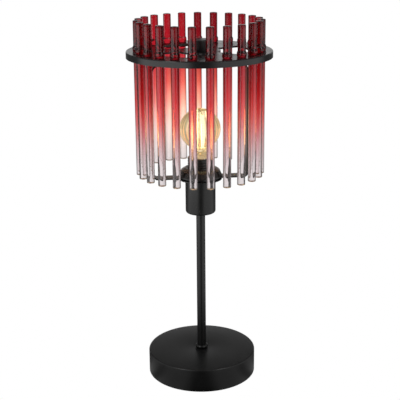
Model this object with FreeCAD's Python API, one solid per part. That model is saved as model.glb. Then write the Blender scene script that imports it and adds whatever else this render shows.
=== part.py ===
"""Table lamp with a ring of hanging glass rods.

Millimetres, +Z up, origin on the ground at the lamp's axis.
Every piece is one solid (or a group of identical fasteners) in its own STEP file.
"""
import FreeCAD, Part
import math
import os

V = FreeCAD.Vector
Z = V(0, 0, 1)

# ---- driving dimensions ----
lamp_height = 405.0

base_radius = 61.0
base_height = 27.2
base_sheet = 1.2
base_edge_round = 1.6
shell_lift = 0.6
foot_thickness = 1.5
foot_radius = 58.0
plate_radius = 59.4
plate_thickness = 1.0
ballast_radius = 56.0
ballast_thickness = 14.0
foot_screw_circle = 40.0
foot_screw_count = 3
foot_screw_first = 150.0
boss_radius = 5.0
screw_radius = 2.0
screw_head_radius = 3.5
screw_head_height = 1.1
nut_pocket_radius = 12.0
nut_pocket_depth = 7.0

inlet_height = 8.5
inlet_bore_radius = 3.2
inlet_neck_radius = 4.3
inlet_flange_radius = 6.0
inlet_flange = 1.6

block_y = 26.0
block_half_width = 7.0
block_half_length = 6.0
block_hole_radius = 1.3
wire_radius = 1.1
wire_spread = 2.7
wire_level = 7.0
wire_bend = 6.6
wire_top = 220.5

tube_radius = 5.0
tube_bore_radius = 4.0
tube_bottom = 11.0
tube_top = 212.0
collar_radius = 7.1
collar_height = 3.6

cup_radius = 16.7
cup_bottom = 191.7
cup_sheet = 1.2
cup_floor = 1.5
cup_edge_round = 2.6

holder_radius = 13.0
holder_wall = 1.6
holder_neck = 204.0
holder_split = 222.0
contact_block_radius = 11.2
contact_block_bottom = 214.0
contact_block_top = 229.0

strap_bottom = 231.8
strap_thickness = 1.6
strap_width = 13.0
strap_yaw = 6.5
leg_offset = 51.5
arm_bend_radius = 5.0
top_bend_radius = 9.0
top_bar_top = 358.6
seat_disc_radius = 21.0

clamp_radius = 23.8
clamp_sheet = 1.2
sleeve_radius = 13.9
sleeve_shoulder = 229.2
sleeve_mouth = 248.0
sleeve_mouth_radius = 11.6
sleeve_throat_radius = 7.7
sleeve_top = 255.2
sleeve_clearance = 0.1
shade_ring_height = 10.0
shade_ring_rim = 1.5
shade_ring_wall = 1.5
shade_ring_crown = 17.0

ring_radius = 78.3
ring_top = 372.1
ring_sheet = 2.0
ring_rim_height = 6.8
ring_rim_wall = 1.5
ring_edge_round = 1.0
window_inner_radius = 22.7
window_outer_radius = 52.6
window_angle = 75.0
window_count = 3
window_corner = 4.0

rod_count = 23
rod_first_angle = -6.2
rod_circle = 65.8
rod_radius = 4.25
rod_length = 168.0
rod_end_round = 1.1
bead_radius = 5.2
rod_hole_radius = 4.55
bead_gap = 0.04

finial_radius = 11.3
finial_height = 11.6
finial_edge_round = 0.8
stud_radius = 3.0
stud_clearance = 0.2
stud_reach = 4.0
finial_nut_flats = 10.0
finial_nut_height = 3.2

bulb_radius = 22.5
bulb_centre = 286.7
bulb_tip = 231.2
bulb_wall = 0.7
neck_radius = 10.6
neck_angle = -52.0
cap_radius = 6.95
cap_flare_radius = 10.9
cap_wall = 0.5
cap_shoulder = 248.3
cap_top = 256.0
socket_radius = 7.1
socket_wall = 0.4
socket_bottom = 229.3
socket_top = 247.5
filament_low = 270.5
filament_high = 298.5
filament_count = 4
filament_first = 25.0
filament_circle = 4.6
filament_radius = 0.95

# ---- heights that follow ----
plate_bottom = foot_thickness
inlet_hole_radius = inlet_neck_radius + 0.05
plate_top = plate_bottom + plate_thickness
ballast_top = base_height - base_sheet
ballast_bottom = ballast_top - ballast_thickness
strap_top = strap_bottom + strap_thickness
clamp_bottom = strap_bottom - clamp_sheet
ring_underside = ring_top - ring_sheet
top_bar_bottom = top_bar_top - strap_thickness
bead_height = math.sqrt(bead_radius**2 - rod_hole_radius**2) + bead_gap
bead_centre = ring_top + bead_height
rod_top = lamp_height
rod_bottom = rod_top - rod_length
block_low = plate_top + 0.2
block_high = ballast_bottom - 0.2
cup_floor_top = cup_bottom + cup_floor

pieces = {}


# ---- helpers ----
def cylinder(radius, low, high, x=0.0, y=0.0):
    return Part.makeCylinder(radius, high - low, V(x, y, low), Z)


def tube(outer, inner, low, high, x=0.0, y=0.0):
    return cylinder(outer, low, high, x, y).cut(cylinder(inner, low - 1, high + 1, x, y))


def box(low, high):
    size = V(*high) - V(*low)
    return Part.makeBox(size.x, size.y, size.z, V(*low))


def outline(points):
    """Edges through (r, z) points. A point written ("arc", r, z) is passed on an arc."""
    corners = []
    edges = []
    via = None
    for point in points:
        if point[0] == "arc":
            via = V(point[1], 0, point[2])
            continue
        here = V(point[0], 0, point[1])
        if corners and via is not None:
            edges.append(Part.Arc(corners[-1], via, here).toShape())
        elif corners:
            edges.append(Part.LineSegment(corners[-1], here).toShape())
        corners.append(here)
        via = None
    if not corners[0].isEqual(corners[-1], 1e-7):
        edges.append(Part.LineSegment(corners[-1], corners[0]).toShape())
    return Part.Wire(edges)


def revolved(points):
    """A solid of revolution about the lamp's axis."""
    return Part.Face(outline(points)).revolve(V(0, 0, 0), Z, 360)


def on_circle(radius, degrees):
    angle = math.radians(degrees)
    return radius * math.cos(angle), radius * math.sin(angle)


def hexagon(across_flats, low, high, x=0.0, y=0.0):
    corner = across_flats / math.sqrt(3)
    points = [V(x + corner * math.cos(math.radians(60 * i)),
                y + corner * math.sin(math.radians(60 * i)), low) for i in range(6)]
    face = Part.Face(Part.makePolygon(points + points[:1]))
    return face.extrude(V(0, 0, high - low))


def arc_middle(centre, radius, degrees):
    """The middle of a quarter round in the (r, z) plane, as an outline point."""
    angle = math.radians(degrees)
    return "arc", centre[0] + radius * math.cos(angle), centre[1] + radius * math.sin(angle)


def nut(across_flats, bore, low, high):
    return hexagon(across_flats, low, high).cut(cylinder(bore, low - 1, high + 1))


# ---- base ----
def base_shell():
    r, t, e = base_radius, base_sheet, base_edge_round
    top_round = (r - e, base_height - e)
    foot_round = 0.5
    shell = revolved([
        (0, base_height),
        (r - e, base_height),
        arc_middle(top_round, e, 45),
        (r, base_height - e),
        (r, shell_lift + foot_round),
        arc_middle((r - foot_round, shell_lift + foot_round), foot_round, -45),
        (r - foot_round, shell_lift),
        (r - t, shell_lift),
        (r - t, base_height - t),
        (0, base_height - t)])
    tube_hole = cylinder(tube_radius + 0.1, ballast_top - 1, base_height + 1)
    inlet_hole = Part.makeCylinder(inlet_hole_radius, 10, V(0, r - 6, inlet_height), V(0, 1, 0))
    return shell.cut(tube_hole).cut(inlet_hole)


def foot_screw_places():
    return [on_circle(foot_screw_circle, foot_screw_first + 360 / foot_screw_count * i)
            for i in range(foot_screw_count)]


def base_ballast():
    body = cylinder(ballast_radius, ballast_bottom, ballast_top)
    body = body.cut(cylinder(tube_radius + 0.1, ballast_bottom - 1, ballast_top + 1))
    body = body.cut(cylinder(nut_pocket_radius, ballast_bottom - 1, ballast_bottom + nut_pocket_depth))
    for x, y in foot_screw_places():
        body = body.fuse(cylinder(boss_radius, plate_top, ballast_bottom, x, y))
        body = body.cut(cylinder(screw_radius, plate_top - 1, ballast_bottom + 6, x, y))
    return body.removeSplitter()


def base_plate():
    plate = cylinder(plate_radius, plate_bottom, plate_top)
    for x, y in foot_screw_places():
        plate = plate.cut(cylinder(screw_radius + 0.2, 0, plate_top + 1, x, y))
    return plate


def base_foot():
    foot = cylinder(foot_radius, 0, foot_thickness)
    for x, y in foot_screw_places():
        foot = foot.cut(cylinder(screw_head_radius + 1, -1, foot_thickness + 1, x, y))
    return foot


def plate_screws():
    screws = []
    for x, y in foot_screw_places():
        head_low = plate_bottom - screw_head_height
        head = cylinder(screw_head_radius, head_low, plate_bottom, x, y)
        slot = box((x - 4, y - 0.4, head_low - 0.2), (x + 4, y + 0.4, head_low + 0.5))
        shank = cylinder(screw_radius - 0.05, plate_bottom, ballast_bottom + 5, x, y)
        screws.append(head.cut(slot).fuse(shank))
    return Part.makeCompound(screws)


# ---- cord inlet, at the back of the base ----
def cord_grommet():
    wall_in, wall_out = base_radius - base_sheet, base_radius
    start = wall_in - inlet_flange - 0.3
    end = wall_out + inlet_flange
    grommet = Part.makeCylinder(inlet_flange_radius, end - start, V(0, start, inlet_height), V(0, 1, 0))
    wall = cylinder(wall_out, 0, base_height).cut(cylinder(wall_in, -1, base_height + 1))
    keep = Part.makeCylinder(inlet_neck_radius, end - start, V(0, start, inlet_height), V(0, 1, 0))
    grommet = grommet.cut(wall.cut(keep))
    bore = Part.makeCylinder(inlet_bore_radius, 20, V(0, start - 5, inlet_height), V(0, 1, 0))
    return grommet.cut(bore)


# ---- terminal block and wires inside the base and the tube ----
def terminal_block():
    front, back = block_y - block_half_length, block_y + block_half_length
    body = box((-block_half_width, front, block_low), (block_half_width, back, block_high))
    for side in (-1, 1):
        x = side * wire_spread
        along = V(x, front - 1, wire_level)
        body = body.cut(Part.makeCylinder(block_hole_radius, back - front + 2, along, V(0, 1, 0)))
        body = body.cut(cylinder(block_hole_radius, wire_level, block_high + 1, x, block_y))
    return body


def terminal_screws():
    low, high = wire_level + wire_radius, block_high - 0.4
    radius = block_hole_radius - 0.05
    return Part.makeCompound([cylinder(radius, low, high, side * wire_spread, block_y) for side in (-1, 1)])


def wire(side):
    """A lead from the terminal block to the tube's foot, round one bend, and up to the lampholder."""
    x, r = side * wire_spread, wire_bend
    slack = r * (1 - math.sin(math.pi / 4))
    start, turn = V(x, block_y, wire_level), V(x, r, wire_level)
    middle, up = V(x, slack, wire_level + slack), V(x, 0, wire_level + r)
    path = Part.Wire([
        Part.LineSegment(start, turn).toShape(),
        Part.Arc(turn, middle, up).toShape(),
        Part.LineSegment(up, V(x, 0, wire_top)).toShape()])
    section = Part.Wire(Part.makeCircle(wire_radius, start, V(0, -1, 0)))
    return path.makePipeShell([section], True, True)


# ---- tube and what fixes it ----
def stem_tube():
    return tube(tube_radius, tube_bore_radius, tube_bottom, tube_top)


def stem_collar():
    r, low, high = collar_radius, base_height, base_height + collar_height
    waist = tube_radius + 0.05
    return revolved([
        (waist, low), (r - 0.9, low), ("arc", r, (low + high) / 2), (r - 0.9, high - 0.1),
        ("arc", r - 1.3, high), (waist, high)])


def stem_washer():
    top = ballast_bottom + nut_pocket_depth
    return tube(9.0, tube_radius + 0.1, top - 1.0, top)


def stem_nut():
    top = ballast_bottom + nut_pocket_depth - 1.0
    return nut(14.0, tube_radius, top - 5.0, top)


def cup_nut():
    return nut(12.0, tube_radius, cup_bottom - 2.2, cup_bottom)


# ---- lampholder and its cover ----
def holder_cup():
    r, t, e = cup_radius, cup_sheet, cup_edge_round
    low, high, inner = cup_bottom, clamp_bottom, e - t
    return revolved([
        (tube_radius + 0.1, low),
        (r - e, low),
        arc_middle((r - e, low + e), e, -45),
        (r, low + e),
        (r, high),
        (r - t, high),
        (r - t, low + e),
        arc_middle((r - e, low + e), inner, -45),
        (r - e, cup_floor_top),
        (tube_radius + 0.1, cup_floor_top)])


def lampholder_cap():
    """The lampholder's lower shell, screwed on the tube's end above the cup's floor."""
    floor, neck, top = cup_floor_top, holder_neck, holder_split
    hub, inner = tube_radius + 2.5, holder_radius - holder_wall
    return revolved([
        (tube_radius, floor), (hub, floor), (hub, neck - 4), (holder_radius, neck), (holder_radius, top),
        (inner, top), (inner, neck + 2), (tube_radius, neck + 2)])


def contact_block():
    """The insulating block that carries the contacts."""
    block = cylinder(contact_block_radius, contact_block_bottom, contact_block_top)
    for side in (-1, 1):
        block = block.cut(cylinder(wire_radius + 0.1, contact_block_bottom - 1, wire_top, side * wire_spread))
    return block


def lampholder_sleeve():
    """The sleeve that stands up through the bracket and carries the shade ring."""
    seat = contact_block_radius + 0.1
    step = sleeve_shoulder + 1.0
    return revolved([
        (seat, holder_split), (holder_radius, holder_split), (holder_radius, step), (sleeve_radius, step),
        (sleeve_radius, sleeve_top), (sleeve_mouth_radius, sleeve_top),
        (sleeve_mouth_radius, sleeve_mouth), (sleeve_throat_radius, sleeve_mouth),
        (sleeve_throat_radius, sleeve_shoulder), (seat, sleeve_shoulder)])


def screw_shell():
    """The metal shell that the bulb's cap screws into."""
    return tube(socket_radius + socket_wall, socket_radius, socket_bottom, socket_top)


def centre_contact():
    """A leaf that the bulb's tip presses on."""
    low, high, half = contact_block_top, contact_block_top + 0.6, 2.0
    leaf = box((-half, -half, low), (half, half, high))
    post = cylinder(1.6, high, bulb_tip - 0.05)
    return leaf.fuse(post)


# ---- bracket, clamped on the sleeve ----
def strap_outline(inset, low, high):
    """The closed loop of the strap, inset from its outer face, in the XZ plane."""
    half = leg_offset + strap_thickness / 2 - inset
    low, high = low + inset, high - inset
    r1, r2 = arm_bend_radius - inset, top_bend_radius - inset
    points = [
        (0, low), (half - r1, low), arc_middle((half - r1, low + r1), r1, -45), (half, low + r1),
        (half, high - r2), arc_middle((half - r2, high - r2), r2, 45), (half - r2, high),
        (-(half - r2), high), arc_middle((-(half - r2), high - r2), r2, 135), (-half, high - r2),
        (-half, low + r1), arc_middle((-(half - r1), low + r1), r1, 225), (-(half - r1), low), (0, low)]
    return Part.Face(outline(points))


def bracket():
    loop = strap_outline(0, strap_bottom, top_bar_top)
    loop = loop.cut(strap_outline(strap_thickness, strap_bottom, top_bar_top))
    strap = loop.extrude(V(0, strap_width, 0))
    strap.translate(V(0, -strap_width / 2, 0))
    strap = strap.fuse(cylinder(seat_disc_radius, strap_bottom, strap_top))
    strap = strap.cut(cylinder(sleeve_radius + sleeve_clearance, strap_bottom - 1, strap_top + 1))
    strap = strap.cut(cylinder(stud_radius + stud_clearance, top_bar_bottom - 1, top_bar_top + 1))
    strap = strap.removeSplitter()
    strap.rotate(V(0, 0, 0), Z, strap_yaw)
    return strap


def clamp_washer():
    return tube(clamp_radius, sleeve_radius + sleeve_clearance, clamp_bottom, strap_bottom)


def shade_ring():
    """The ring with a conical top that clamps the bracket down."""
    bore = sleeve_radius + sleeve_clearance
    low, rim, top = strap_top, strap_top + shade_ring_rim, strap_top + shade_ring_height
    crown, wall = shade_ring_crown, shade_ring_wall
    return revolved([
        (bore, low), (bore + wall, low), (bore + wall, top - 1.9), (crown + 0.2, top - 2.0),
        (clamp_radius - wall, rim - 0.6), (clamp_radius - wall, low), (clamp_radius, low),
        (clamp_radius, rim), (crown, top), (bore, top)])


# ---- ring plate, finial and what joins them to the bracket ----
def window(angle):
    """One curved window of the ring plate, with rounded corners."""
    half = math.radians(window_angle / 2)
    r1, r2 = window_inner_radius, window_outer_radius
    low, high = ring_underside - 1, ring_top + 1

    def at(radius, a):
        return V(radius * math.cos(a), radius * math.sin(a), low)
    edges = [
        Part.Arc(at(r1, half), at(r1, 0), at(r1, -half)).toShape(),
        Part.LineSegment(at(r1, -half), at(r2, -half)).toShape(),
        Part.Arc(at(r2, -half), at(r2, 0), at(r2, half)).toShape(),
        Part.LineSegment(at(r2, half), at(r1, half)).toShape()]
    cutter = Part.Face(Part.Wire(edges)).extrude(V(0, 0, high - low))
    upright = [e for e in cutter.Edges if abs(e.Vertexes[0].Z - e.Vertexes[-1].Z) > 1]
    cutter = cutter.makeFillet(window_corner, upright)
    cutter.rotate(V(0, 0, 0), Z, angle)
    return cutter


def rod_place(index):
    """The rod's angle about the lamp's axis, and its place on the rod circle."""
    angle = -90 + rod_first_angle + 360 / rod_count * index
    return angle, on_circle(rod_circle, angle)


def ring_plate():
    r, edge = ring_radius, ring_edge_round
    skirt_low = ring_top - ring_rim_height
    plate = revolved([
        (0, ring_underside), (r - ring_rim_wall, ring_underside), (r - ring_rim_wall, skirt_low),
        (r, skirt_low), (r, ring_top - edge), arc_middle((r - edge, ring_top - edge), edge, 45),
        (r - edge, ring_top), (0, ring_top)])
    cutters = [window(360 / window_count * i) for i in range(window_count)]
    for i in range(rod_count):
        x, y = rod_place(i)[1]
        cutters.append(cylinder(rod_hole_radius, ring_underside - 1, ring_top + 1, x, y))
    cutters.append(cylinder(stud_radius + stud_clearance, ring_underside - 1, ring_top + 1))
    return plate.cut(cutters)


def hub_spacer():
    return tube(finial_radius - 0.8, stud_radius + stud_clearance, top_bar_top, ring_underside)


def finial():
    """A plain round knob with a stud that goes down through the plate, the spacer and the bracket."""
    r, low, high, edge = finial_radius, ring_top, ring_top + finial_height, finial_edge_round
    stud_low = top_bar_bottom - stud_reach
    return revolved([
        (0, stud_low), (stud_radius, stud_low), (stud_radius, low), (r, low), (r, high - edge),
        arc_middle((r - edge, high - edge), edge, 45), (r - edge, high), (0, high)])


def finial_nut():
    return nut(finial_nut_flats, stud_radius, top_bar_bottom - finial_nut_height, top_bar_bottom)


def rod(index):
    """A solid glass rod with the bead that it hangs by, fire-polished at both ends."""
    angle, (x, y) = rod_place(index)
    r, e = rod_radius, rod_end_round
    reach = math.sqrt(bead_radius**2 - r**2)
    shape = revolved([
        (0, rod_bottom), (r - e, rod_bottom), arc_middle((r - e, rod_bottom + e), e, -45),
        (r, rod_bottom + e), (r, bead_centre - reach), ("arc", bead_radius, bead_centre),
        (r, bead_centre + reach), (r, rod_top - e), arc_middle((r - e, rod_top - e), e, 45),
        (r - e, rod_top), (0, rod_top)])
    shape.rotate(V(0, 0, 0), Z, angle)
    shape.translate(V(x, y, 0))
    return shape


# ---- bulb ----
def bulb_profile(inset):
    """The bulb's outline from its neck to its crown, inset by the glass's thickness."""
    r = bulb_radius - inset
    low = cap_top - 1.5
    neck = neck_radius - inset
    x, z = on_circle(r, neck_angle)
    mid = on_circle(r, (neck_angle + 90) / 2)
    flare = 6.0 + inset
    return [
        (neck, low), (neck, low + 3.0),
        ("arc", neck + flare * 0.16, low + 3.0 + (bulb_centre + z - low - 3.0) * 0.5),
        (x, bulb_centre + z), ("arc", mid[0], bulb_centre + mid[1]), (0, bulb_centre + r)]


def bulb_glass():
    outer = bulb_profile(0)
    inner = bulb_profile(bulb_wall)
    low = outer[0][1]
    solid = revolved(outer + [(0, low)])
    hollow = revolved(inner + [(0, low)])
    return solid.cut(hollow)


def bulb_cap():
    """The bulb's screw cap, a thin shell on a black insulator."""
    low, foot, shoulder = bulb_tip + 1.6, bulb_tip + 5.6, cap_shoulder
    flare, throat, shelf = cap_flare_radius, neck_radius + 0.03, neck_radius - 1.4
    inner = cap_radius - cap_wall
    return revolved([
        (0, low), (4.6, low), (cap_radius - 0.6, foot), (cap_radius, foot), (cap_radius, shoulder),
        (flare, cap_top - 3.2), (flare, cap_top - 0.6), (throat, cap_top - 0.6),
        (throat, cap_top - 1.52), (shelf, cap_top - 1.52), (shelf, cap_top - 3.0),
        (inner, shoulder + 0.3), (inner, foot + 1), (0, foot + 1)])


def bulb_contact():
    """The tip that meets the lampholder's centre contact."""
    return revolved([
        (0, bulb_tip), (1.6, bulb_tip), ("arc", 2.5, bulb_tip + 0.6), (2.6, bulb_tip + 1.55),
        (0, bulb_tip + 1.55)])


def filament_places():
    return [on_circle(filament_circle, filament_first + 360 / filament_count * i)
            for i in range(filament_count)]


def bulb_stem():
    """The glass mount that carries the filament bars on two wire stars."""
    stem = revolved([
        (0, cap_top - 3.0), (7.6, cap_top - 3.0), (7.6, cap_top - 1.8), (4.2, cap_top + 3.5),
        (1.9, cap_top + 10.0), (1.2, filament_low + 6), (0.9, filament_high + 2.2), (0, filament_high + 2.2)])
    for x, y in filament_places():
        for low, high in ((filament_low - 1.6, filament_low), (filament_high, filament_high + 1.6)):
            middle = (low + high) / 2
            arm = Part.makeCylinder(0.35, filament_circle, V(0, 0, middle), V(x, y, 0))
            stem = stem.fuse([arm, cylinder(0.6, low, high, x, y)])
    return stem.removeSplitter()


def bulb_filaments():
    return Part.makeCompound([
        cylinder(filament_radius, filament_low, filament_high, x, y) for x, y in filament_places()])


# ---- all pieces ----
for make in (base_shell, base_ballast, base_plate, base_foot, plate_screws, cord_grommet,
             terminal_block, terminal_screws, stem_tube, stem_collar, stem_washer, stem_nut,
             cup_nut, holder_cup, lampholder_cap, contact_block, lampholder_sleeve, screw_shell,
             centre_contact, clamp_washer, bracket, shade_ring, ring_plate, hub_spacer, finial,
             finial_nut, bulb_glass, bulb_cap, bulb_contact, bulb_stem, bulb_filaments):
    pieces[make.__name__] = make()
pieces["wire_live"] = wire(-1)
pieces["wire_neutral"] = wire(1)
for number in range(rod_count):
    pieces[f"rod_{number + 1:02d}"] = rod(number)

os.makedirs("parts", exist_ok=True)
for name, shape in pieces.items():
    shape.exportStep(f"parts/{name}.step")
    print(name, len(shape.Solids), shape.isValid(), round(shape.Volume / 1000, 3), "cm3")
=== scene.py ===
"""Looks of the table lamp with hanging glass rods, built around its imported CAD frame.

Everything is in metres in the CAD's own frame: +Z up, the lamp's axis at the origin, -Y the front.
"""
import math

import bmesh
import bpy
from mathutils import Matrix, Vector, noise


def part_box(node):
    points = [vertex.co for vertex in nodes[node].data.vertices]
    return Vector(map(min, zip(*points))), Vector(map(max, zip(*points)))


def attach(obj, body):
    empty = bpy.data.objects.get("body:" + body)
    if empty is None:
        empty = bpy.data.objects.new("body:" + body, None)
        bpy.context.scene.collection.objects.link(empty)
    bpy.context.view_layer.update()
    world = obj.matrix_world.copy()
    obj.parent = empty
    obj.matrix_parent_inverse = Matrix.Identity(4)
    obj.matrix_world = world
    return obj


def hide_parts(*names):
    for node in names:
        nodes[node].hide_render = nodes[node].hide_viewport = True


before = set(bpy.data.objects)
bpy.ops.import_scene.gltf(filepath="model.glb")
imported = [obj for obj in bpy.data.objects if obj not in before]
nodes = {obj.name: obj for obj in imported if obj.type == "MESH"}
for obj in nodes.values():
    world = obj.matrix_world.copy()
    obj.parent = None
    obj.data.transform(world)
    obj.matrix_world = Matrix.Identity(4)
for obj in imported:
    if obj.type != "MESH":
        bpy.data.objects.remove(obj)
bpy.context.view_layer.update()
MM = 0.001

# Sizes shared by several pieces
STUD_RADIUS = 3.0 * MM
NECK_RADIUS = 10.6 * MM
BULB_WALL = 0.7 * MM
CAP_RADIUS = 6.95 * MM
SHEET = 1.2 * MM


# ---- sizes read from the frame ----
def size_of(node):
    """Radius across X, lowest Z and highest Z of a node on the lamp's axis."""
    low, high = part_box(node)
    return (high.x - low.x) / 2, low.z, high.z


# ---- mesh helpers ----
def corner_round(points, radii, steps=5):
    """An (r, z) outline whose corners are rounded to the given radii (0 keeps a corner sharp)."""
    result = []
    count = len(points)
    for i, (point, radius) in enumerate(zip(points, radii)):
        here = Vector(point)
        if radius <= 0 or i in (0, count - 1):
            result.append(here)
            continue
        back = (Vector(points[i - 1]) - here).normalized()
        ahead = (Vector(points[i + 1]) - here).normalized()
        half = back.angle(ahead) / 2
        reach = radius / math.tan(half)
        centre = here + (back + ahead).normalized() * (radius / math.sin(half))
        start = here + back * reach
        end = here + ahead * reach
        first = math.atan2(start.y - centre.y, start.x - centre.x)
        last = math.atan2(end.y - centre.y, end.x - centre.x)
        turn = (last - first + math.pi) % (2 * math.pi) - math.pi
        for step in range(steps + 1):
            angle = first + turn * step / steps
            result.append(centre + Vector((math.cos(angle), math.sin(angle))) * radius)
    return result


def add_mesh(name, verts, faces, material, sharp_angle=35.0):
    """A smooth-shaded mesh object whose edges over sharp_angle stay crisp."""
    mesh = bpy.data.meshes.new(name)
    mesh.from_pydata(verts, [], faces)
    mesh.validate()
    shape = bmesh.new()
    shape.from_mesh(mesh)
    bmesh.ops.recalc_face_normals(shape, faces=shape.faces)
    for face in shape.faces:
        face.smooth = True
    for edge in shape.edges:
        if len(edge.link_faces) == 2:
            edge.smooth = edge.calc_face_angle() < math.radians(sharp_angle)
    shape.to_mesh(mesh)
    shape.free()
    piece = bpy.data.objects.new(name, mesh)
    bpy.context.scene.collection.objects.link(piece)
    mesh.materials.append(material)
    return piece


def lathe_data(outline, segments, closed=False, shift=None):
    """Vertices and faces of an (r, z) outline turned about Z. Points on the axis become one vertex."""
    verts, rings, faces = [], [], []
    for r, z in outline:
        if r < 1e-7:
            rings.append([len(verts)] * segments)
            verts.append((0, 0, z))
            continue
        ring = []
        for i in range(segments):
            angle = 2 * math.pi * i / segments
            radius, height = shift(r, z, angle) if shift else (r, z)
            ring.append(len(verts))
            verts.append((radius * math.cos(angle), radius * math.sin(angle), height))
        rings.append(ring)
    pairs = list(zip(rings, rings[1:]))
    if closed:
        pairs.append((rings[-1], rings[0]))
    for low, high in pairs:
        for i in range(segments):
            j = (i + 1) % segments
            face = []
            for corner in (low[i], low[j], high[j], high[i]):
                if corner not in face:
                    face.append(corner)
            if len(face) > 2:
                faces.append(face)
    return verts, faces


def lathe(name, outline, material, segments=128, closed=False, sharp_angle=35.0, shift=None):
    verts, faces = lathe_data(outline, segments, closed, shift)
    return add_mesh(name, verts, faces, material, sharp_angle)


def settle(piece, body, slot, *replaced):
    """The piece rides on a body and stands for the named CAD nodes. slot is not used."""
    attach(piece, body)
    if replaced:
        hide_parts(*replaced)
    return piece


# ---- materials ----
def material_nodes(name):
    material = bpy.data.materials.new(name)
    material.use_nodes = True
    tree = material.node_tree
    return material, tree, tree.nodes["Principled BSDF"]


def noise_node(tree, scale, detail=3.0, rough=0.5):
    """A noise texture in the object's own coordinates, so that it moves with the piece."""
    place = tree.nodes.new("ShaderNodeTexCoord")
    texture = tree.nodes.new("ShaderNodeTexNoise")
    texture.inputs["Scale"].default_value = scale
    texture.inputs["Detail"].default_value = detail
    texture.inputs["Roughness"].default_value = rough
    tree.links.new(place.outputs["Object"], texture.inputs["Vector"])
    return texture


def ramp_node(tree, source, stops):
    """A colour ramp over source, with stops of (position, (r, g, b))."""
    ramp = tree.nodes.new("ShaderNodeValToRGB")
    elements = ramp.color_ramp.elements
    while len(elements) < len(stops):
        elements.new(0.5)
    for element, (position, colour) in zip(elements, stops):
        element.position = position
        element.color = (*colour, 1)
    tree.links.new(source, ramp.inputs["Fac"])
    return ramp


def range_node(tree, source, low, high, to_low=0.0, to_high=1.0):
    mapped = tree.nodes.new("ShaderNodeMapRange")
    for key, value in (("From Min", low), ("From Max", high), ("To Min", to_low), ("To Max", to_high)):
        mapped.inputs[key].default_value = value
    tree.links.new(source, mapped.inputs["Value"])
    return mapped.outputs["Result"]


def mix_colour(tree, factor, low, high):
    mix = tree.nodes.new("ShaderNodeMix")
    mix.data_type = "RGBA"
    tree.links.new(factor, mix.inputs["Factor"])
    for socket, value in (("A", low), ("B", high)):
        if isinstance(value, float):
            mix.inputs[socket].default_value = (value, value, value, 1)
        else:
            tree.links.new(value, mix.inputs[socket])
    return mix.outputs["Result"]


def add_bump(tree, shader, height, strength, distance):
    bump = tree.nodes.new("ShaderNodeBump")
    bump.inputs["Strength"].default_value = strength
    bump.inputs["Distance"].default_value = distance
    tree.links.new(height, bump.inputs["Height"])
    tree.links.new(bump.outputs["Normal"], shader.inputs["Normal"])


def coated_metal(name, dark, light, rough_low, rough_high, grain=2200.0, bump=0.12):
    """Powder coat: a fine pebbled skin over an even dark colour, with slightly uneven gloss."""
    material, tree, shader = material_nodes(name)
    patch = noise_node(tree, 55.0, 4.0)
    grains = noise_node(tree, grain, 2.0)
    colour = ramp_node(tree, patch.outputs["Fac"], [(0.3, dark), (0.7, light)])
    tree.links.new(colour.outputs["Color"], shader.inputs["Base Color"])
    gloss = range_node(tree, patch.outputs["Fac"], 0.3, 0.7, rough_low, rough_high)
    tree.links.new(gloss, shader.inputs["Roughness"])
    add_bump(tree, shader, grains.outputs["Fac"], bump, 0.2 * MM)
    return material


def moulded_plastic(name, dark, light, rough_low, rough_high):
    material, tree, shader = material_nodes(name)
    patch = noise_node(tree, 140.0, 5.0)
    colour = ramp_node(tree, patch.outputs["Fac"], [(0.35, dark), (0.65, light)])
    tree.links.new(colour.outputs["Color"], shader.inputs["Base Color"])
    gloss = range_node(tree, patch.outputs["Fac"], 0.3, 0.7, rough_low, rough_high)
    tree.links.new(gloss, shader.inputs["Roughness"])
    add_bump(tree, shader, patch.outputs["Fac"], 0.05, 0.1 * MM)
    return material


def bare_metal(name, dark, light, rough_low, rough_high, stretch=(40.0, 40.0, 1400.0)):
    """Plated or stamped metal with fine drawn lines."""
    material, tree, shader = material_nodes(name)
    place = tree.nodes.new("ShaderNodeTexCoord")
    scale = tree.nodes.new("ShaderNodeMapping")
    scale.inputs["Scale"].default_value = stretch
    texture = tree.nodes.new("ShaderNodeTexNoise")
    texture.inputs["Scale"].default_value = 1.0
    tree.links.new(place.outputs["Object"], scale.inputs["Vector"])
    tree.links.new(scale.outputs["Vector"], texture.inputs["Vector"])
    colour = ramp_node(tree, texture.outputs["Fac"], [(0.3, dark), (0.7, light)])
    tree.links.new(colour.outputs["Color"], shader.inputs["Base Color"])
    gloss = range_node(tree, texture.outputs["Fac"], 0.3, 0.7, rough_low, rough_high)
    tree.links.new(gloss, shader.inputs["Roughness"])
    shader.inputs["Metallic"].default_value = 1.0
    return material


def deepened(stops, depth, rise, red):
    """Stain stops and painted edge-shade stops made stronger or weaker (the colour to a power) and moved up
    the rod.
    """
    return [(p + rise * (0 < p < 1), (r**red, g**depth, b**depth)) for p, (r, g, b) in stops]


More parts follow.
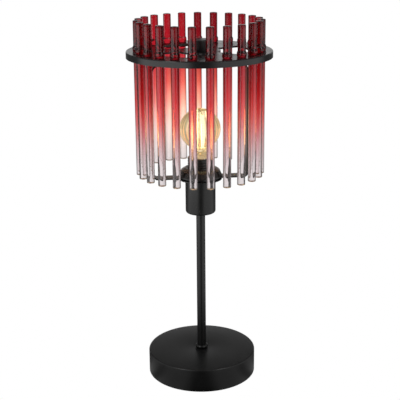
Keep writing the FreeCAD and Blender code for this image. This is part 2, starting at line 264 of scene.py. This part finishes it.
def painted_bulb_glow(tree, shader, split):
    """Painted light: a warm emission on the side of a rod that faces the bulb, standing in for the bulb's
    light caught there.
    """
    place = tree.nodes.new("ShaderNodeTexCoord")
    flat = tree.nodes.new("ShaderNodeVectorMath")
    flat.operation = "MULTIPLY"
    flat.inputs[1].default_value = (-1, -1, 0)
    tree.links.new(place.outputs["Object"], flat.inputs[0])
    inward = tree.nodes.new("ShaderNodeVectorMath")
    inward.operation = "NORMALIZE"
    tree.links.new(flat.outputs["Vector"], inward.inputs[0])
    facing = tree.nodes.new("ShaderNodeVectorMath")
    facing.operation = "DOT_PRODUCT"
    tree.links.new(inward.outputs["Vector"], facing.inputs[0])
    tree.links.new(place.outputs["Normal"], facing.inputs[1])
    # Painted light: brightest on the side that faces the lamp's axis
    lit = range_node(tree, facing.outputs["Value"], 0.35, 1.0)
    middle = (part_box("bulb_filaments")[0].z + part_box("bulb_filaments")[1].z) / 2 + 12 * MM
    reach = 62 * MM
    near = range_node(tree, split.outputs["Z"], middle - reach, middle + reach)
    # Painted glow band: warm emission strongest a little above the bars' middle, fading up and down
    band = ramp_node(tree, near, [(0.0, (0, 0, 0)), (0.25, (0.50, 0.40, 0.26)), (0.5, (1.0, 0.80, 0.46)),
                                  (0.75, (0.5, 0.20, 0.08)), (1.0, (0, 0, 0))])
    colour = mix_colour(tree, lit, 0.0, band.outputs["Color"])
    tree.links.new(colour, shader.inputs["Emission Color"])
    shader.inputs["Emission Strength"].default_value = PAINTED_GLOW_STRENGTH


def rod_glass(name, low, high, depth=1.0, rise=0.0, red=1.0):
    """Solid glass with a red stain that fades out downwards, darkened towards the rod's edges by viewing
    angle: painted edge shade, which in the red part also stands for the stain seen at a slant.

    depth is how strong the stain is in green and blue, red how strong it is in red, and rise how much
    higher it starts, as a share of the rod."""
    material, tree, shader = material_nodes(name)
    place = tree.nodes.new("ShaderNodeTexCoord")
    split = tree.nodes.new("ShaderNodeSeparateXYZ")
    tree.links.new(place.outputs["Object"], split.inputs["Vector"])
    drift = noise_node(tree, 34.0, 1.0)
    shift = range_node(tree, drift.outputs["Fac"], 0.3, 0.7, -RED_DRIFT, RED_DRIFT)
    height = tree.nodes.new("ShaderNodeMath")
    height.operation = "ADD"
    tree.links.new(split.outputs["Z"], height.inputs[0])
    tree.links.new(shift, height.inputs[1])
    level = range_node(tree, height.outputs["Value"], low, high)
    stain = ramp_node(tree, level, deepened(RED_STOPS, depth, rise, red))
    # Painted edge shade: the darker colours used towards the rod's edges
    edge = ramp_node(tree, level, deepened(EDGE_SHADE_STOPS, depth, rise, red))
    # Painted edge shade: the share of it grows with the viewing angle towards the silhouette
    facing = tree.nodes.new("ShaderNodeLayerWeight")
    facing.inputs["Blend"].default_value = 0.5
    rim = range_node(tree, facing.outputs["Facing"], 0.36, 0.96)
    mix = tree.nodes.new("ShaderNodeMix")
    mix.data_type = "RGBA"
    tree.links.new(rim, mix.inputs["Factor"])
    tree.links.new(stain.outputs["Color"], mix.inputs["A"])
    tree.links.new(edge.outputs["Color"], mix.inputs["B"])
    tree.links.new(mix.outputs["Result"], shader.inputs["Base Color"])
    streaks = noise_node(tree, 260.0, 2.0)
    gloss = range_node(tree, streaks.outputs["Fac"], 0.3, 0.7, 0.0, 0.008)
    tree.links.new(gloss, shader.inputs["Roughness"])
    shader.inputs["Transmission Weight"].default_value = 1.0
    shader.inputs["IOR"].default_value = 1.5
    # Painted light: the bulb's glow drawn as emission on the rod
    painted_bulb_glow(tree, shader, split)
    return material


def thin_glass(name, dark, light, ior=1.45, glow=(1, 1, 1), strength=0.0):
    material, tree, shader = material_nodes(name)
    patch = noise_node(tree, 90.0, 2.0)
    colour = ramp_node(tree, patch.outputs["Fac"], [(0.3, dark), (0.7, light)])
    tree.links.new(colour.outputs["Color"], shader.inputs["Base Color"])
    gloss = range_node(tree, patch.outputs["Fac"], 0.3, 0.7, 0.0, 0.02)
    tree.links.new(gloss, shader.inputs["Roughness"])
    shader.inputs["Transmission Weight"].default_value = 1.0
    shader.inputs["IOR"].default_value = ior
    shader.inputs["Emission Color"].default_value = (*glow, 1)
    shader.inputs["Emission Strength"].default_value = strength
    return material


def glowing_bar(name, colour, strength):
    """A phosphor bar that glows evenly, with faint bands where its chips sit."""
    material, tree, shader = material_nodes(name)
    place = tree.nodes.new("ShaderNodeTexCoord")
    bands = tree.nodes.new("ShaderNodeTexWave")
    bands.bands_direction = "Z"
    bands.inputs["Scale"].default_value = 180.0
    tree.links.new(place.outputs["Object"], bands.inputs["Vector"])
    tint = ramp_node(tree, bands.outputs["Fac"], [(0.0, tuple(0.8 * c for c in colour)), (1.0, colour)])
    tree.links.new(tint.outputs["Color"], shader.inputs["Emission Color"])
    tree.links.new(tint.outputs["Color"], shader.inputs["Base Color"])
    shader.inputs["Emission Strength"].default_value = strength
    shader.inputs["Roughness"].default_value = 0.6
    return material


# The red stain, and the painted edge shade, from the rods' lower end (0) to their upper end (1)
RED_DRIFT = 3 * MM
# Strength of the painted bulb glow on the rods
PAINTED_GLOW_STRENGTH = 0.36
RED_STOPS = [
    (0.00, (0.98, 0.90, 0.91)),
    (0.12, (0.97, 0.85, 0.87)),
    (0.22, (0.94, 0.68, 0.71)),
    (0.32, (0.91, 0.42, 0.45)),
    (0.42, (0.86, 0.20, 0.22)),
    (0.55, (0.74, 0.070, 0.090)),
    (0.72, (0.58, 0.028, 0.046)),
    (0.82, (0.44, 0.014, 0.026)),
    (1.00, (0.33, 0.008, 0.016))]
# Painted edge shade by height: in the red part it also stands for the stain seen at a slant, in the clear
# part it is painted shade only
EDGE_SHADE_STOPS = [
    (0.00, (0.50, 0.42, 0.42)),
    (0.22, (0.46, 0.28, 0.29)),
    (0.36, (0.42, 0.12, 0.13)),
    (0.50, (0.34, 0.030, 0.040)),
    (0.72, (0.20, 0.006, 0.012)),
    (1.00, (0.08, 0.002, 0.005))]

rod_low, rod_high = (corner.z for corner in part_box("rod_01"))
black_coat = coated_metal(
    "black_powder_coat", (0.006, 0.006, 0.006), (0.009, 0.009, 0.009), 0.27, 0.33, 2200.0, 0.03)
base_coat = coated_metal(
    "black_base_coat", (0.006, 0.006, 0.006), (0.009, 0.009, 0.009), 0.29, 0.36, 1800.0, 0.04)
plate_coat = coated_metal(
    "black_plate_coat", (0.007, 0.007, 0.007), (0.011, 0.011, 0.011), 0.20, 0.27, 2600.0, 0.03)
black_plastic = moulded_plastic("black_plastic", (0.008, 0.007, 0.007), (0.012, 0.010, 0.010), 0.16, 0.22)
white_plastic = moulded_plastic("white_plastic", (0.70, 0.68, 0.62), (0.80, 0.78, 0.73), 0.35, 0.45)
brown_sheath = moulded_plastic("brown_sheath", (0.12, 0.045, 0.02), (0.15, 0.06, 0.03), 0.35, 0.45)
blue_sheath = moulded_plastic("blue_sheath", (0.02, 0.07, 0.30), (0.03, 0.09, 0.36), 0.35, 0.45)
foot_rubber = moulded_plastic("foot_rubber", (0.012, 0.012, 0.012), (0.02, 0.02, 0.02), 0.75, 0.9)
zinc = bare_metal("zinc_plate", (0.50, 0.50, 0.50), (0.62, 0.62, 0.61), 0.28, 0.42)
brass = bare_metal("stamped_brass", (0.66, 0.48, 0.22), (0.78, 0.60, 0.32), 0.25, 0.38)
nickel = bare_metal("nickel_plate", (0.60, 0.57, 0.52), (0.72, 0.69, 0.64), 0.18, 0.3)
solder = bare_metal("solder", (0.42, 0.42, 0.42), (0.52, 0.52, 0.52), 0.35, 0.5)
iron = coated_metal("cast_iron", (0.03, 0.03, 0.03), (0.07, 0.065, 0.06), 0.6, 0.8, 700.0, 0.6)
red_glasses = [
    rod_glass("red_rod_glass", rod_low, rod_high),
    rod_glass("red_rod_glass_deep", rod_low, rod_high, 1.12, -0.012, 1.2),
    rod_glass("red_rod_glass_pale", rod_low, rod_high, 0.92, 0.012),
    # Painted light: a brighter red copy of the glass, for the rods that stand in stronger light
    rod_glass("red_rod_glass_painted_lit", rod_low, rod_high, 0.97, 0.0, 0.6)]
amber_glass = thin_glass(
    "amber_glass", (0.985, 0.92, 0.78), (0.99, 0.94, 0.83), glow=(1.0, 0.74, 0.36), strength=0.075)
clear_glass = thin_glass("clear_glass", (0.93, 0.94, 0.93), (0.96, 0.97, 0.96), 1.5)
phosphor = glowing_bar("phosphor", (1.0, 0.95, 0.68), 1.15)

CAD_MATERIALS = {
    "base_ballast": iron, "base_plate": zinc, "base_foot": foot_rubber, "plate_screws": zinc,
    "cord_grommet": black_plastic, "terminal_block": white_plastic, "terminal_screws": brass,
    "stem_washer": zinc, "stem_nut": zinc, "cup_nut": black_coat, "lampholder_cap": black_plastic,
    "contact_block": white_plastic, "screw_shell": brass, "centre_contact": brass,
    "clamp_washer": black_coat, "bracket": black_coat, "ring_plate": plate_coat,
    "hub_spacer": black_coat, "finial_nut": black_coat, "wire_live": brown_sheath,
    "wire_neutral": blue_sheath, "bulb_contact": solder}

for node_name, cad_material in CAD_MATERIALS.items():
    cad_object = nodes[node_name]
    cad_object.data.materials.clear()
    cad_object.data.materials.append(cad_material)


# ---- base, tube and cup ----
def make_base_shell():
    radius, low, high = size_of("base_shell")
    sheet, roll, foot = SHEET, 1.6 * MM, 0.5 * MM
    hole = size_of("stem_tube")[0] + 0.1 * MM
    outline = corner_round(
        [(hole, high - sheet), (hole, high), (radius, high), (radius, low),
         (radius - sheet, low), (radius - sheet, high - sheet), (hole, high - sheet)],
        [0, 0.15 * MM, roll, foot, 0.3 * MM, 1.0 * MM, 0], 6)
    piece = lathe("base_shell_skin", outline, base_coat, 192)
    return settle(piece, "lamp", "black_coat", "base_shell")


def make_tube():
    radius, low, high = size_of("stem_tube")
    wall, ease = 1.0 * MM, 0.3 * MM
    outline = corner_round(
        [(radius - wall, low), (radius, low), (radius, high), (radius - wall, high), (radius - wall, low)],
        [0, ease, ease, ease, 0], 3)
    piece = lathe("stem_tube_skin", outline, black_coat, 64)
    return settle(piece, "lamp", "black_coat", "stem_tube")


def make_collar():
    radius, low, high = size_of("stem_collar")
    hole = size_of("stem_tube")[0] + 0.02 * MM
    belly = (high - low) / 2
    bulge = 0.8 * belly
    steps = 12
    outline = [(hole, low)]
    for step in range(steps + 1):
        angle = -math.pi / 2 + math.pi * step / steps
        outline.append((radius - bulge + bulge * math.cos(angle), low + belly + belly * math.sin(angle)))
    outline += [(hole, high), (hole, low)]
    piece = lathe("stem_collar_skin", outline, black_coat, 96)
    return settle(piece, "lamp", "black_coat", "stem_collar")


def make_cup():
    radius, low, high = size_of("holder_cup")
    sheet, roll = SHEET, 2.6 * MM
    hole = size_of("stem_tube")[0] + 0.1 * MM
    outline = corner_round(
        [(hole, low + sheet), (hole, low), (radius, low), (radius, high), (radius - sheet, high),
         (radius - sheet, low + sheet), (hole, low + sheet)],
        [0, 0, roll, 0.35 * MM, 0.35 * MM, roll - sheet, 0], 7)
    piece = lathe("holder_cup_skin", outline, black_coat, 128)
    return settle(piece, "lamp", "black_coat", "holder_cup")


# ---- lampholder sleeve with its thread, and the shade ring ----
def make_sleeve():
    """The sleeve's outside carries a round thread: a helical ridge that fades out at both ends."""
    radius, low, high = size_of("lampholder_sleeve")
    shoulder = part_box("clamp_washer")[0].z - 1.0 * MM
    pitch, depth = 2.8 * MM, 0.75 * MM
    turns_low, turns_high = shoulder + 1.0 * MM, high - 1.2 * MM
    mouth, throat, seat = 11.6 * MM, 7.7 * MM, 11.3 * MM
    inner_step, inner_shoulder = high - 7.2 * MM, low + 7.2 * MM

    def helix(r, z, angle):
        if r < radius - 0.01 * MM or not turns_low < z < turns_high:
            return r, z
        fade = min(1.0, (z - turns_low) / pitch, (turns_high - z) / pitch)
        phase = 2 * math.pi * (z / pitch) - angle
        return r - depth * fade * (0.5 - 0.5 * math.cos(phase)), z

    rows = 96
    outline = [(seat, low), (13.0 * MM, low), (13.0 * MM, shoulder), (radius - 0.3 * MM, shoulder)]
    outline += [
        (radius, shoulder + 0.3 * MM + (high - shoulder - 0.7 * MM) * i / rows) for i in range(rows + 1)]
    outline += [(radius - 0.4 * MM, high), (mouth, high), (mouth, inner_step), (throat, inner_step),
                (throat, inner_shoulder), (seat, inner_shoulder), (seat, low)]
    piece = lathe("lampholder_sleeve_thread", outline, black_plastic, 96, shift=helix, sharp_angle=50)
    return settle(piece, "lamp", "black_plastic", "lampholder_sleeve")


def make_shade_ring():
    radius, low, high = size_of("shade_ring")
    bore = size_of("lampholder_sleeve")[0] + 0.1 * MM
    crown, wall, rim = radius - 6.8 * MM, 1.5 * MM, 1.5 * MM
    belly = (radius - 2.4 * MM, high - 2.6 * MM)
    outline = corner_round(
        [(bore, low), (bore, high), (crown, high), belly, (radius, low + rim), (radius, low),
         (radius - wall, low), (radius - wall, low + rim - 0.6 * MM), (crown + 0.2 * MM, high - 2.0 * MM),
         (bore + wall, high - 2.0 * MM), (bore + wall, low), (bore, low)],
        [0, 0.4 * MM, 0.9 * MM, 3.2 * MM, 0.5 * MM, 0.4 * MM, 0.2 * MM, 0.3 * MM, 0.2 * MM, 0.3 * MM,
         0.2 * MM, 0], 4)
    piece = lathe("shade_ring_skin", outline, black_plastic, 160)
    return settle(piece, "lamp", "black_plastic", "shade_ring")


def make_finial():
    """The knob on the plate and the stud that runs down from it through the bracket."""
    radius, low, high = size_of("finial")
    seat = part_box("ring_plate")[1].z
    stud = STUD_RADIUS
    outline = corner_round(
        [(0, low), (stud, low), (stud, seat), (radius, seat), (radius, high), (0, high)],
        [0, 0.5 * MM, 0, 0.4 * MM, 0.9 * MM, 0], 5)
    piece = lathe("finial_knob", outline, black_coat, 96)
    return settle(piece, "lamp", "black_coat", "finial")


# ---- rods ----
ROD_RADIUS = 4.25 * MM
ROD_SEGMENTS = 40
# The glass each rod takes; copy 3 on rods 14 to 16 is the painted-light brighter red
ROD_GLASS = [0, 1, 0, 2, 0, 0, 1, 2, 0, 0, 1, 1, 1, 3, 3, 3, 2, 0, 1, 0, 2, 0, 1]
ROD_ROWS = 44


def make_rod(name):
    """A drawn glass rod: fire-polished ends, a fused bead above the plate, and slightly uneven sides."""
    low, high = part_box(name)
    centre = Vector(((low.x + high.x) / 2, (low.y + high.y) / 2, 0))
    radius, polish, dome = ROD_RADIUS, 0.8 * MM, 0.3 * MM
    bead = (high.x - low.x) / 2
    plate_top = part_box("ring_plate")[1].z
    bead_middle, bead_half = plate_top + 2.95 * MM, 3.3 * MM
    seed = float(name[-2:]) * 7.31

    def bulge(z):
        """How far the bead stands out of the rod at a height."""
        t = (z - bead_middle) / bead_half
        if abs(t) >= 1.15:
            return 0.0
        if abs(t) > 0.82:
            return (bead - radius) * 0.33 * ((1.15 - abs(t)) / 0.33) ** 2
        return (bead - radius) * (math.sqrt(1 - (t / 1.02) ** 2) * 0.72 + 0.28 * (1 - t * t))

    first, last = low.z + polish + dome, high.z - polish - dome
    heights = [first + (last - first) * i / ROD_ROWS for i in range(ROD_ROWS + 1)]
    heights += [bead_middle + bead_half * 1.15 * (i / 12 - 1) for i in range(25)]
    heights = sorted(heights)
    end = [((radius - polish) * s, dome * s * s) for s in (0, 0.3, 0.6, 0.85)]
    for step in range(7):
        angle = math.pi / 2 * step / 6
        end.append((radius - polish + polish * math.sin(angle), dome + polish * (1 - math.cos(angle))))
    outline = [(r, low.z + z) for r, z in end]
    outline += [(radius + bulge(z), z) for z in heights[1:-1]]
    outline += [(r, high.z - z) for r, z in reversed(end)]

    def uneven(r, z, angle):
        along = noise.noise(Vector((seed, z * 28, 0.3)))
        around = noise.noise(Vector((seed + math.cos(angle) * 0.6, math.sin(angle) * 0.6, z * 55)))
        share = r / radius
        return r + (0.03 * along + 0.012 * around - 0.03) * MM * share, z

    verts, faces = lathe_data(outline, ROD_SEGMENTS, shift=uneven)
    bow = [0.10 * MM * noise.noise(Vector((seed + k, 4.2, 1.7))) for k in (0, 9)]
    placed = []
    for x, y, z in verts:
        t = (z - low.z) / (high.z - low.z)
        sag = math.sin(math.pi * t)
        placed.append((x + centre.x + bow[0] * sag, y + centre.y + bow[1] * sag, z))
    glass = red_glasses[ROD_GLASS[int(name[-2:]) - 1]]
    piece = add_mesh(name + "_glass", placed, faces, glass, 60)
    return settle(piece, name, "red_rod_glass", name)


# ---- bulb ----
def bulb_outline(inset, low):
    """The glass outline from the neck's foot to the crown: a neck, a flare and the globe."""
    glass_low, glass_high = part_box("bulb_glass")
    globe = (glass_high.x - glass_low.x) / 2
    middle = glass_high.z - globe
    neck = NECK_RADIUS - inset
    r = globe - inset
    tangent = math.radians(-50)
    join = Vector((r * math.cos(tangent), middle + r * math.sin(tangent)))
    foot = Vector((neck, low + 2.2 * MM))
    reach = (join.y - foot.y) * 0.55
    pull = Vector((math.sin(tangent), -math.cos(tangent))) * reach
    controls = [foot, foot + Vector((0, reach)), join + pull, join]
    points = [(neck, low)]
    steps = 12
    for i in range(steps + 1):
        t = i / steps
        a, b, c, d = ((1 - t) ** 3, 3 * t * (1 - t) ** 2, 3 * t * t * (1 - t), t**3)
        point = controls[0] * a + controls[1] * b + controls[2] * c + controls[3] * d
        points.append((point.x, point.y))
    arc_steps = 30
    for i in range(1, arc_steps + 1):
        angle = tangent + (math.pi / 2 - tangent) * i / arc_steps
        points.append((r * math.cos(angle) if i < arc_steps else 0, middle + r * math.sin(angle)))
    return points


def make_bulb_glass():
    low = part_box("bulb_glass")[0].z
    outline = bulb_outline(0, low) + list(reversed(bulb_outline(BULB_WALL, low))) + [(NECK_RADIUS, low)]
    piece = lathe("bulb_globe", outline, amber_glass, 96, sharp_angle=60)
    return settle(piece, "bulb", "amber_glass", "bulb_glass")


def make_bulb_cap():
    """The plated cap with its rolled screw thread."""
    flare, low, high = size_of("bulb_cap")
    radius, depth, pitch = CAP_RADIUS, 0.55 * MM, 2.822 * MM
    foot, shoulder = low + 4.0 * MM, high - 7.0 * MM
    throat = NECK_RADIUS + 0.03 * MM

    def helix(r, z, angle):
        if abs(r - radius) > 0.01 * MM or not foot < z < shoulder:
            return r, z
        fade = min(1.0, (z - foot) / (0.6 * pitch), (shoulder - z) / (0.6 * pitch))
        phase = 2 * math.pi * (z / pitch) - angle
        return r - depth * fade * (0.5 - 0.5 * math.cos(phase)), z

    rows = 60
    outline = [(0, low), (4.6 * MM, low), (radius - 0.6 * MM, foot - 0.1 * MM)]
    outline += [(radius, foot + (shoulder - foot) * i / rows) for i in range(rows + 1)]
    outline += [(flare - 0.5 * MM, high - 3.4 * MM), (flare, high - 2.8 * MM), (flare, high - 0.2 * MM),
                (flare - 0.2 * MM, high), (throat, high), (throat, high - 0.9 * MM), (0, high - 0.9 * MM)]
    piece = lathe("bulb_cap_thread", outline, nickel, 80, shift=helix, sharp_angle=50)
    return settle(piece, "bulb", "nickel_cap", "bulb_cap")


def make_bulb_stem():
    """The pressed glass mount with its flare."""
    low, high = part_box("bulb_stem")
    bars_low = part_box("bulb_filaments")[0]
    foot = low.z
    outline = corner_round(
        [(0, foot), (7.6 * MM, foot), (7.4 * MM, foot + 1.4 * MM), (3.6 * MM, foot + 6.5 * MM),
         (1.9 * MM, foot + 13 * MM), (1.1 * MM, bars_low.z + 4 * MM), (0.9 * MM, high.z - 0.3 * MM),
         (0, high.z)],
        [0, 0.3 * MM, 0.6 * MM, 6 * MM, 6 * MM, 2 * MM, 0.4 * MM, 0], 5)
    piece = lathe("bulb_mount", outline, clear_glass, 48, sharp_angle=60)
    return settle(piece, "bulb", "clear_glass", "bulb_stem")


BAR_COUNT = 4


def bar_places():
    """The bars' feet on their circle. The first stands at 25 degrees."""
    circle = 4.6 * MM
    angles = [math.radians(25 + 360 / BAR_COUNT * i) for i in range(BAR_COUNT)]
    return [Vector((circle * math.cos(a), circle * math.sin(a), 0)) for a in angles]


def make_filaments():
    low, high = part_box("bulb_filaments")
    verts, faces = [], []
    radius = 0.9 * MM
    outline = corner_round(
        [(0, low.z), (radius, low.z), (radius, high.z), (0, high.z)], [0, 0.4 * MM, 0.4 * MM, 0], 3)
    bar_verts, bar_faces = lathe_data(outline, 20)
    for place in bar_places():
        start = len(verts)
        verts += [(x + place.x, y + place.y, z) for x, y, z in bar_verts]
        faces += [[start + i for i in face] for face in bar_faces]
    piece = add_mesh("filament_bars", verts, faces, phosphor, 60)
    return settle(piece, "bulb", "filament", "bulb_filaments")


def make_filament_wires():
    """Bent wires from the mount to both ends of each bar."""
    low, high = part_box("bulb_filaments")
    curve = bpy.data.curves.new("filament_wires", "CURVE")
    curve.dimensions = "3D"
    curve.bevel_depth = 0.28 * MM
    curve.bevel_resolution = 3
    for place in bar_places():
        for tip, away in ((low.z, -1), (high.z, 1)):
            spline = curve.splines.new("BEZIER")
            spline.bezier_points.add(1)
            start, end = spline.bezier_points
            start.co = Vector((0, 0, tip + away * 1.2 * MM))
            start.handle_right = start.co + place * 0.6
            start.handle_left = start.co - place * 0.3
            end.co = Vector((place.x, place.y, tip + away * 0.02 * MM))
            end.handle_left = end.co + Vector((-place.x * 0.1, -place.y * 0.1, away * 1.1 * MM))
            end.handle_right = end.co - Vector((0, 0, away * 0.5 * MM))
    piece = bpy.data.objects.new("filament_wires", curve)
    bpy.context.scene.collection.objects.link(piece)
    curve.materials.append(nickel)
    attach(piece, "bulb")
    return piece


make_base_shell()
make_tube()
make_collar()
make_cup()
make_sleeve()
make_shade_ring()
make_finial()
for rod_name in sorted(n for n in nodes if n.startswith("rod_")):
    make_rod(rod_name)
globe = make_bulb_glass()
make_bulb_cap()
make_bulb_stem()
make_filaments()
make_filament_wires()


# ---- floor, light and camera ----
def azimuth_level(tree, x, y, stops):
    """Brightness by direction round the lamp, from stops of (degrees, level): 0 the front, -90 the left."""
    toward = tree.nodes.new("ShaderNodeMath")
    toward.operation = "MULTIPLY"
    toward.inputs[1].default_value = -1.0
    tree.links.new(y, toward.inputs[0])
    angle = tree.nodes.new("ShaderNodeMath")
    angle.operation = "ARCTAN2"
    tree.links.new(x, angle.inputs[0])
    tree.links.new(toward.outputs["Value"], angle.inputs[1])
    share = range_node(tree, angle.outputs["Value"], -math.pi, math.pi)
    return ramp_node(tree, share, [(d / 360 + 0.5, (v, v, v)) for d, v in stops]).outputs["Color"]


def mirrored(stops):
    """Stops from 0 to 180 degrees, laid out on both sides."""
    return [(-d, v) for d, v in reversed(stops) if d > 0] + list(stops)


def make_world():
    """White behind the lamp as the camera sees it. To everything else, a dim room with soft lit sides."""
    world = bpy.data.worlds.new("studio")
    bpy.context.scene.world = world
    world.use_nodes = True
    tree = world.node_tree
    place = tree.nodes.new("ShaderNodeTexCoord")
    split = tree.nodes.new("ShaderNodeSeparateXYZ")
    tree.links.new(place.outputs["Generated"], split.inputs["Vector"])
    sides = azimuth_level(tree, split.outputs["X"], split.outputs["Y"], mirrored(ROOM_SIDES))
    horizon = azimuth_level(tree, split.outputs["X"], split.outputs["Y"], mirrored(ROOM_HORIZON))
    room = mix_colour(tree, range_node(tree, split.outputs["Z"], 0.18, 0.36), horizon, sides)
    room = mix_colour(tree, range_node(tree, split.outputs["Z"], 0.5, 0.95), room, ROOM_TOP)
    path = tree.nodes.new("ShaderNodeLightPath")
    seen = mix_colour(tree, path.outputs["Is Camera Ray"], room, 1.0)
    tree.links.new(seen, tree.nodes["Background"].inputs["Color"])


def make_floor():
    """A pale table that glows evenly to the camera. The metal and the glass see it brighter or darker by
    direction and distance."""
    half = 6.0
    mesh = bpy.data.meshes.new("floor")
    corners = [(-half, -half, 0), (half, -half, 0), (half, half, 0), (-half, half, 0)]
    mesh.from_pydata(corners, [], [(0, 1, 2, 3)])
    floor = bpy.data.objects.new("floor", mesh)
    bpy.context.scene.collection.objects.link(floor)
    material, tree, shader = material_nodes("pale_table")
    place = tree.nodes.new("ShaderNodeTexCoord")
    split = tree.nodes.new("ShaderNodeSeparateXYZ")
    tree.links.new(place.outputs["Object"], split.inputs["Vector"])
    x, y = split.outputs["X"], split.outputs["Y"]
    length = tree.nodes.new("ShaderNodeVectorMath")
    length.operation = "LENGTH"
    tree.links.new(place.outputs["Object"], length.inputs[0])
    near_base = range_node(tree, length.outputs["Value"], 0.14, 0.22)
    near_rods = range_node(tree, length.outputs["Value"], 0.72, 0.80)
    level = mix_colour(tree, near_base, azimuth_level(tree, x, y, mirrored(TABLE_BY_BASE)),
                       azimuth_level(tree, x, y, mirrored(TABLE_BY_TUBE)))
    level = mix_colour(tree, near_rods, level, azimuth_level(tree, x, y, TABLE_BY_RODS))
    path = tree.nodes.new("ShaderNodeLightPath")
    through = azimuth_level(tree, x, y, mirrored(TABLE_THROUGH_GLASS))
    level = mix_colour(tree, path.outputs["Is Transmission Ray"], level, through)
    level = mix_colour(tree, path.outputs["Is Camera Ray"], level, 1.0)
    tree.links.new(level, shader.inputs["Emission Color"])
    shader.inputs["Emission Strength"].default_value = 1.0
    shader.inputs["Base Color"].default_value = (0, 0, 0, 1)
    shader.inputs["Specular IOR Level"].default_value = 0.0
    shader.inputs["Roughness"].default_value = 1.0
    mesh.materials.append(material)


def add_softbox(name, degrees, distance, width, height, lift, glow, aim):
    """A soft light that stands at an angle round the lamp (0 is the front) and faces the lamp's axis."""
    light = bpy.data.lights.new(name, "AREA")
    light.shape = "RECTANGLE"
    light.size, light.size_y = width, height
    light.energy = glow * width * height * math.pi
    holder = bpy.data.objects.new(name, light)
    bpy.context.scene.collection.objects.link(holder)
    angle = math.radians(degrees)
    holder.location = (distance * math.sin(angle), -distance * math.cos(angle), lift)
    holder.rotation_euler = (Vector((0, 0, aim)) - holder.location).to_track_quat("-Z", "Y").to_euler()
    holder.visible_camera = False
    holder.visible_transmission = False
    return holder


def add_bulb_light():
    """The warm light of the bars. The globe lets it through without a shadow."""
    low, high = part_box("bulb_filaments")
    light = bpy.data.lights.new("bulb_light", "POINT")
    light.energy = BULB_POWER
    light.color = (1.0, 0.55, 0.22)
    light.shadow_soft_size = 6 * MM
    holder = bpy.data.objects.new("bulb_light", light)
    bpy.context.scene.collection.objects.link(holder)
    holder.location = (0, 0, (low.z + high.z) / 2)
    holder.visible_camera = False
    holder.visible_glossy = False
    holder.visible_transmission = False
    globe.visible_shadow = False


def add_camera():
    """The photograph's view: from the front, about 17 degrees down, with a long lens."""
    camera = bpy.data.cameras.new("camera")
    camera.lens = 88.9
    camera.sensor_width = 36.0
    camera.clip_start = 0.05
    holder = bpy.data.objects.new("camera", camera)
    bpy.context.scene.collection.objects.link(holder)
    holder.location = (1.9 * MM, -1.050, 0.5273)
    holder.rotation_euler = (math.radians(90 - 17.04), math.radians(0.45), 0)
    bpy.context.scene.camera = holder


# Brightness by direction: 0 is the front, 90 the sides, 180 the back
ROOM_HORIZON = [(0, 0.06), (10, 0.08), (24, 0.5), (95, 0.5), (115, 0.12), (150, 0.12), (162, 0.7), (180, 0.8)]
ROOM_SIDES = [(0, 0.06), (10, 0.08), (24, 0.4), (100, 0.4), (140, 0.12), (180, 0.11)]
ROOM_TOP = 0.2
TABLE_BY_BASE = [(0, 0.02), (10, 0.04), (24, 0.30), (56, 0.31), (66, 0.12), (74, 0.14), (80, 0.26),
                 (92, 0.26), (100, 0.12), (120, 0.06), (180, 0.04)]
TABLE_BY_TUBE = [(0, 0.02), (12, 0.06), (26, 0.75), (100, 0.75), (125, 0.15), (180, 0.08)]
TABLE_BY_RODS = [(-180, 0.3), (-150, 0.1), (-110, 0.1), (-92, 1.5), (-18, 1.5), (-10, 0.1), (16, 0.1),
                 (32, 1.0), (98, 0.9), (118, 0.1), (150, 0.1), (180, 0.3)]
TABLE_THROUGH_GLASS = [(0, 0.75), (35, 0.6), (60, 0.12), (80, 0.03), (100, 0.03), (120, 0.12),
                       (150, 0.62), (180, 0.8)]
BULB_POWER = 1.0

make_world()
make_floor()
add_softbox("key_left", -48, 1.0, 0.35, 0.9, 0.95, 3.0, 0.3)
add_softbox("key_right", 48, 1.0, 0.35, 0.9, 0.95, 2.2, 0.3)
add_bulb_light()
add_camera()

scene = bpy.context.scene
scene.view_settings.view_transform = "Standard"
scene.cycles.max_bounces = 20
scene.cycles.transmission_bounces = 20
scene.cycles.glossy_bounces = 6
scene.cycles.transparent_max_bounces = 16
